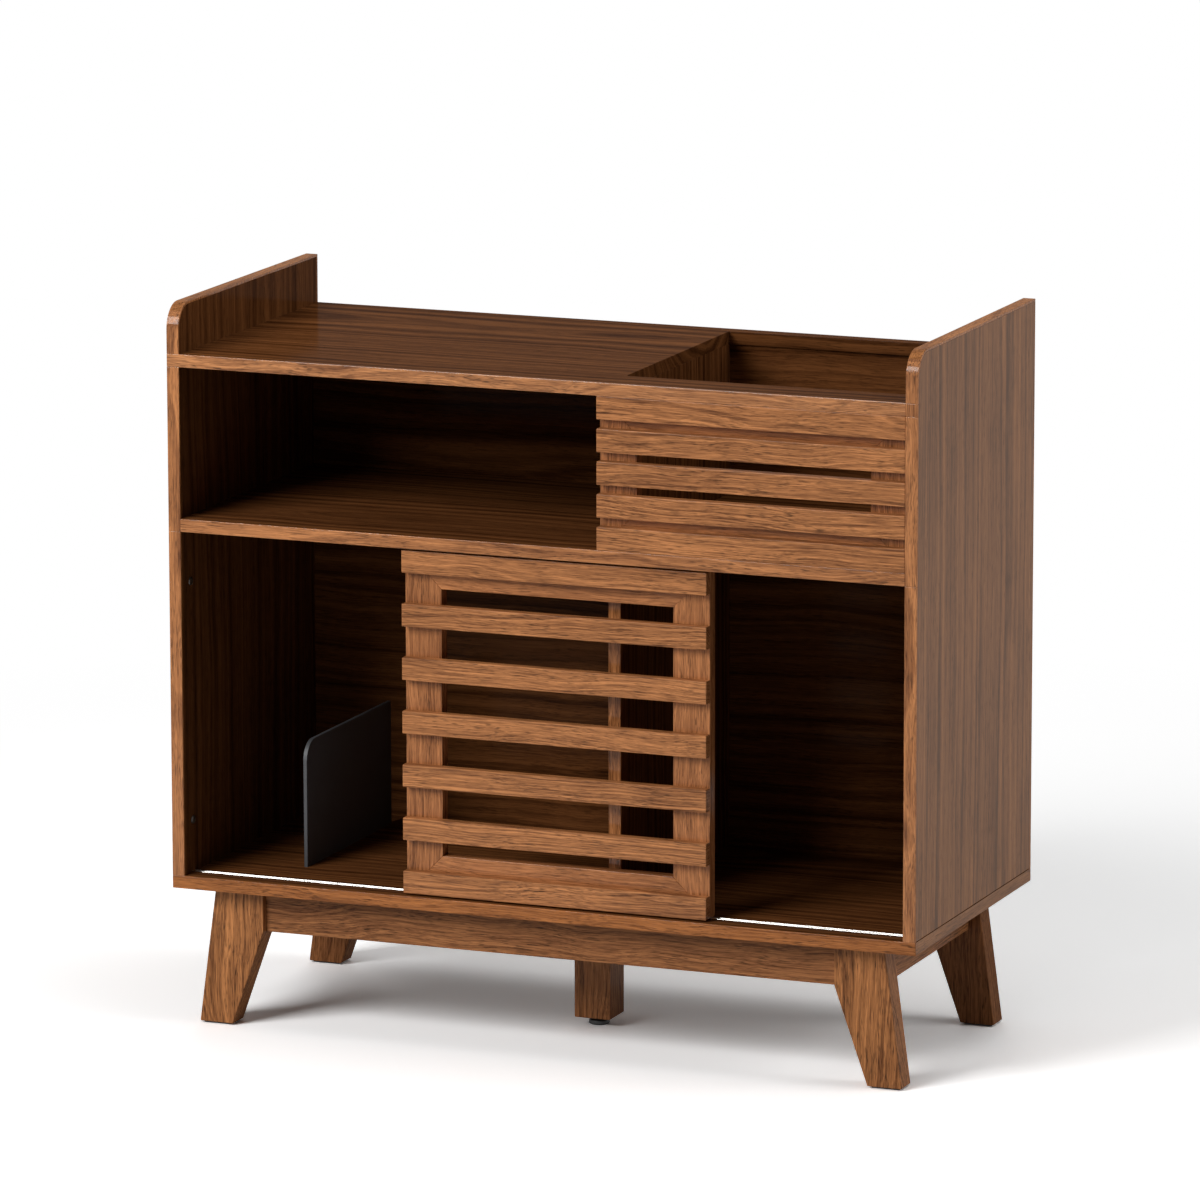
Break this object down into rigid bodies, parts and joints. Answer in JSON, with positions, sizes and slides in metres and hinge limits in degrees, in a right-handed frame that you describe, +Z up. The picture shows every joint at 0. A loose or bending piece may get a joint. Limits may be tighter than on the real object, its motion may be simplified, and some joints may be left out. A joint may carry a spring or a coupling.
{
  "type": "record console",
  "caption": "Low walnut cabinet on splayed legs with open bays, a slatted sliding door on a metal track and a slatted bin open through the top.",
  "frame": {"origin": "on the floor, under the middle of the cabinet", "axes": "+X to the right seen from the front, +Y to the rear, +Z up"},
  "size_m": [0.92, 0.4, 0.855],
  "materials": {
    "walnut_veneer": "satin lacquer",
    "walnut_back": "satin lacquer",
    "walnut_lipping": "satin lacquer",
    "walnut_solid": "satin lacquer",
    "walnut_base": "satin lacquer",
    "beech": "raw",
    "screw_steel": "zinc plated",
    "zinc_steel": "zinc plated",
    "nylon": "moulded",
    "dark_plastic": "extruded",
    "aluminium": "anodised, satin",
    "clear_rubber": "soft",
    "black_plastic": "moulded",
    "divider_grey": "satin"
  },
  "bodies": {
    "cabinet": {"apron_front": "walnut_base", "apron_left": "walnut_base", "apron_rear": "walnut_base", "apron_right": "walnut_base", "back_panel": "walnut_back", "bin_rail_bottom": "walnut_solid", "bin_rail_top": "walnut_solid", "bin_slat_1": "walnut_solid", "bin_slat_2": "walnut_solid", "bin_slat_3": "walnut_solid", "bin_slat_4": "walnut_solid", "bin_slat_5": "walnut_solid", "bin_stile_left": "walnut_solid", "bin_stile_right": "walnut_solid", "bottom_lipping": "walnut_lipping", "bottom_panel": "walnut_veneer", "bottom_track": "aluminium", "cabinet_screws": "screw_steel", "cam_fittings": "zinc_steel", "centre_post": "walnut_base", "deck_lipping": "walnut_lipping", "deck_panel": "walnut_veneer", "door_bumpers": "clear_rubber", "leg_front_left": "walnut_base", "leg_front_right": "walnut_base", "leg_glides": "black_plastic", "leg_rear_left": "walnut_base", "leg_rear_right": "walnut_base", "levelling_insert": "zinc_steel", "lower_partition": "walnut_veneer", "middle_shelf": "walnut_veneer", "partition_lipping": "walnut_lipping", "post_plate": "zinc_steel", "record_divider": "divider_grey", "shelf_lipping": "walnut_lipping", "side_lippings_left": "walnut_lipping", "side_lippings_right": "walnut_lipping", "side_panel_left": "walnut_veneer", "side_panel_right": "walnut_veneer", "top_guide_channel": "dark_plastic", "upper_partition": "walnut_veneer", "wood_dowels": "beech"},
    "sliding_door": {"door_guide_studs": "nylon", "door_rail_bottom": "walnut_solid", "door_rail_top": "walnut_solid", "door_slat_1": "walnut_solid", "door_slat_2": "walnut_solid", "door_slat_3": "walnut_solid", "door_slat_4": "walnut_solid", "door_slat_5": "walnut_solid", "door_slat_6": "walnut_solid", "door_slat_7": "walnut_solid", "door_slat_screws": "screw_steel", "door_stile_left": "walnut_solid", "door_stile_right": "walnut_solid", "roller_housings": "nylon"},
    "roller_left": {"roller_left": "nylon"},
    "roller_right": {"roller_right": "nylon"},
    "levelling_pad": {"levelling_pad": "black_plastic"},
    "levelling_stem": {"levelling_stem": "zinc_steel"}
  },
  "joints": [
    {"name": "door_slide", "type": "slide", "parent": "cabinet", "child": "sliding_door", "axis": [1, 0, 0], "range_m": [-0.273, 0.238]},
    {"name": "roller_left_spin", "type": "hinge", "parent": "sliding_door", "child": "roller_left", "pos_m": [-0.11, -0.174, 0.18935], "axis": [0, 1, 0], "continuous": true},
    {"name": "roller_right_spin", "type": "hinge", "parent": "sliding_door", "child": "roller_right", "pos_m": [0.145, -0.174, 0.18935], "axis": [0, 1, 0], "continuous": true},
    {"name": "levelling_lift", "type": "slide", "parent": "cabinet", "child": "levelling_pad", "axis": [0, 0, 1], "range_m": [-0.008, 0.0013]},
    {"name": "levelling_turn", "type": "hinge", "parent": "levelling_pad", "child": "levelling_stem", "pos_m": [0, -0.01, 0.01], "axis": [0, 0, 1], "range_deg": [-2300, 370]}
  ],
  "couplings": [
    {"joint": "roller_left_spin", "follows": "door_slide", "rad_per_m": 111.11},
    {"joint": "roller_right_spin", "follows": "door_slide", "rad_per_m": 111.11},
    {"joint": "levelling_lift", "follows": "levelling_turn", "m_per_rad": 0.00019894}
  ]
}
